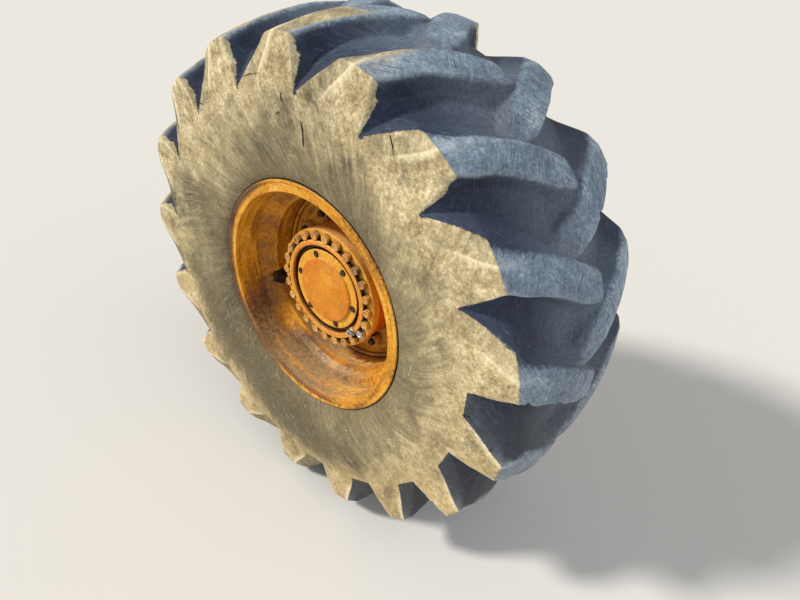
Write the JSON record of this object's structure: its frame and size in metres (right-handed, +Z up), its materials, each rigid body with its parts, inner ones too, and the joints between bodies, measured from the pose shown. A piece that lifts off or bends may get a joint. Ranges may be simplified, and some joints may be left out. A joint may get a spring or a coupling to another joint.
{
  "type": "forestry wheel end with lugged tyre and planetary hub",
  "caption": "Log skidder wheel: worn lugged forestry tyre on a drop centre rim, bolted to a planetary hub that turns on its axle spindle.",
  "frame": {"origin": "centre of the spindle flange's face that bolts to the axle housing", "axes": "+Y along the wheel's axis from the wheel towards the axle housing, so the wheel's outer side faces -Y; +Z up; +X the machine's front"},
  "size_m": [1.539, 0.587, 1.5394],
  "materials": {
    "bare_casting": "oily bare cast steel",
    "orange_paint": "worn orange-yellow paint over cast iron",
    "yellow_paint": "worn yellow paint over rolled steel with rust along the flange",
    "painted_bolts": "painted steel with dirt in the corners",
    "dirty_steel": "dark dirty steel",
    "plug_steel": "bare zinc-plated steel",
    "seal_rubber": "black moulded rubber",
    "tyre_rubber": "weathered tyre rubber with tan dust"
  },
  "bodies": {
    "axle_end": {"spindle": "bare_casting"},
    "wheel": {"hub": "orange_paint", "hub_seal": "seal_rubber", "planet_housing": "orange_paint", "housing_bolts": "painted_bolts", "hub_cover": "orange_paint", "cover_bolts": "dirty_steel", "drain_plug": "plug_steel", "rim_disc": "yellow_paint", "wheel_studs": "dirty_steel", "wheel_nuts": "painted_bolts", "rim_barrel": "yellow_paint", "valve_stem": "seal_rubber", "tyre_casing": "tyre_rubber", "tyre_tread": "tyre_rubber"}
  },
  "joints": [
    {"name": "wheel_spin", "type": "hinge", "parent": "axle_end", "child": "wheel", "pos_m": [0, 0, 0], "axis": [0, 1, 0], "continuous": true}
  ]
}
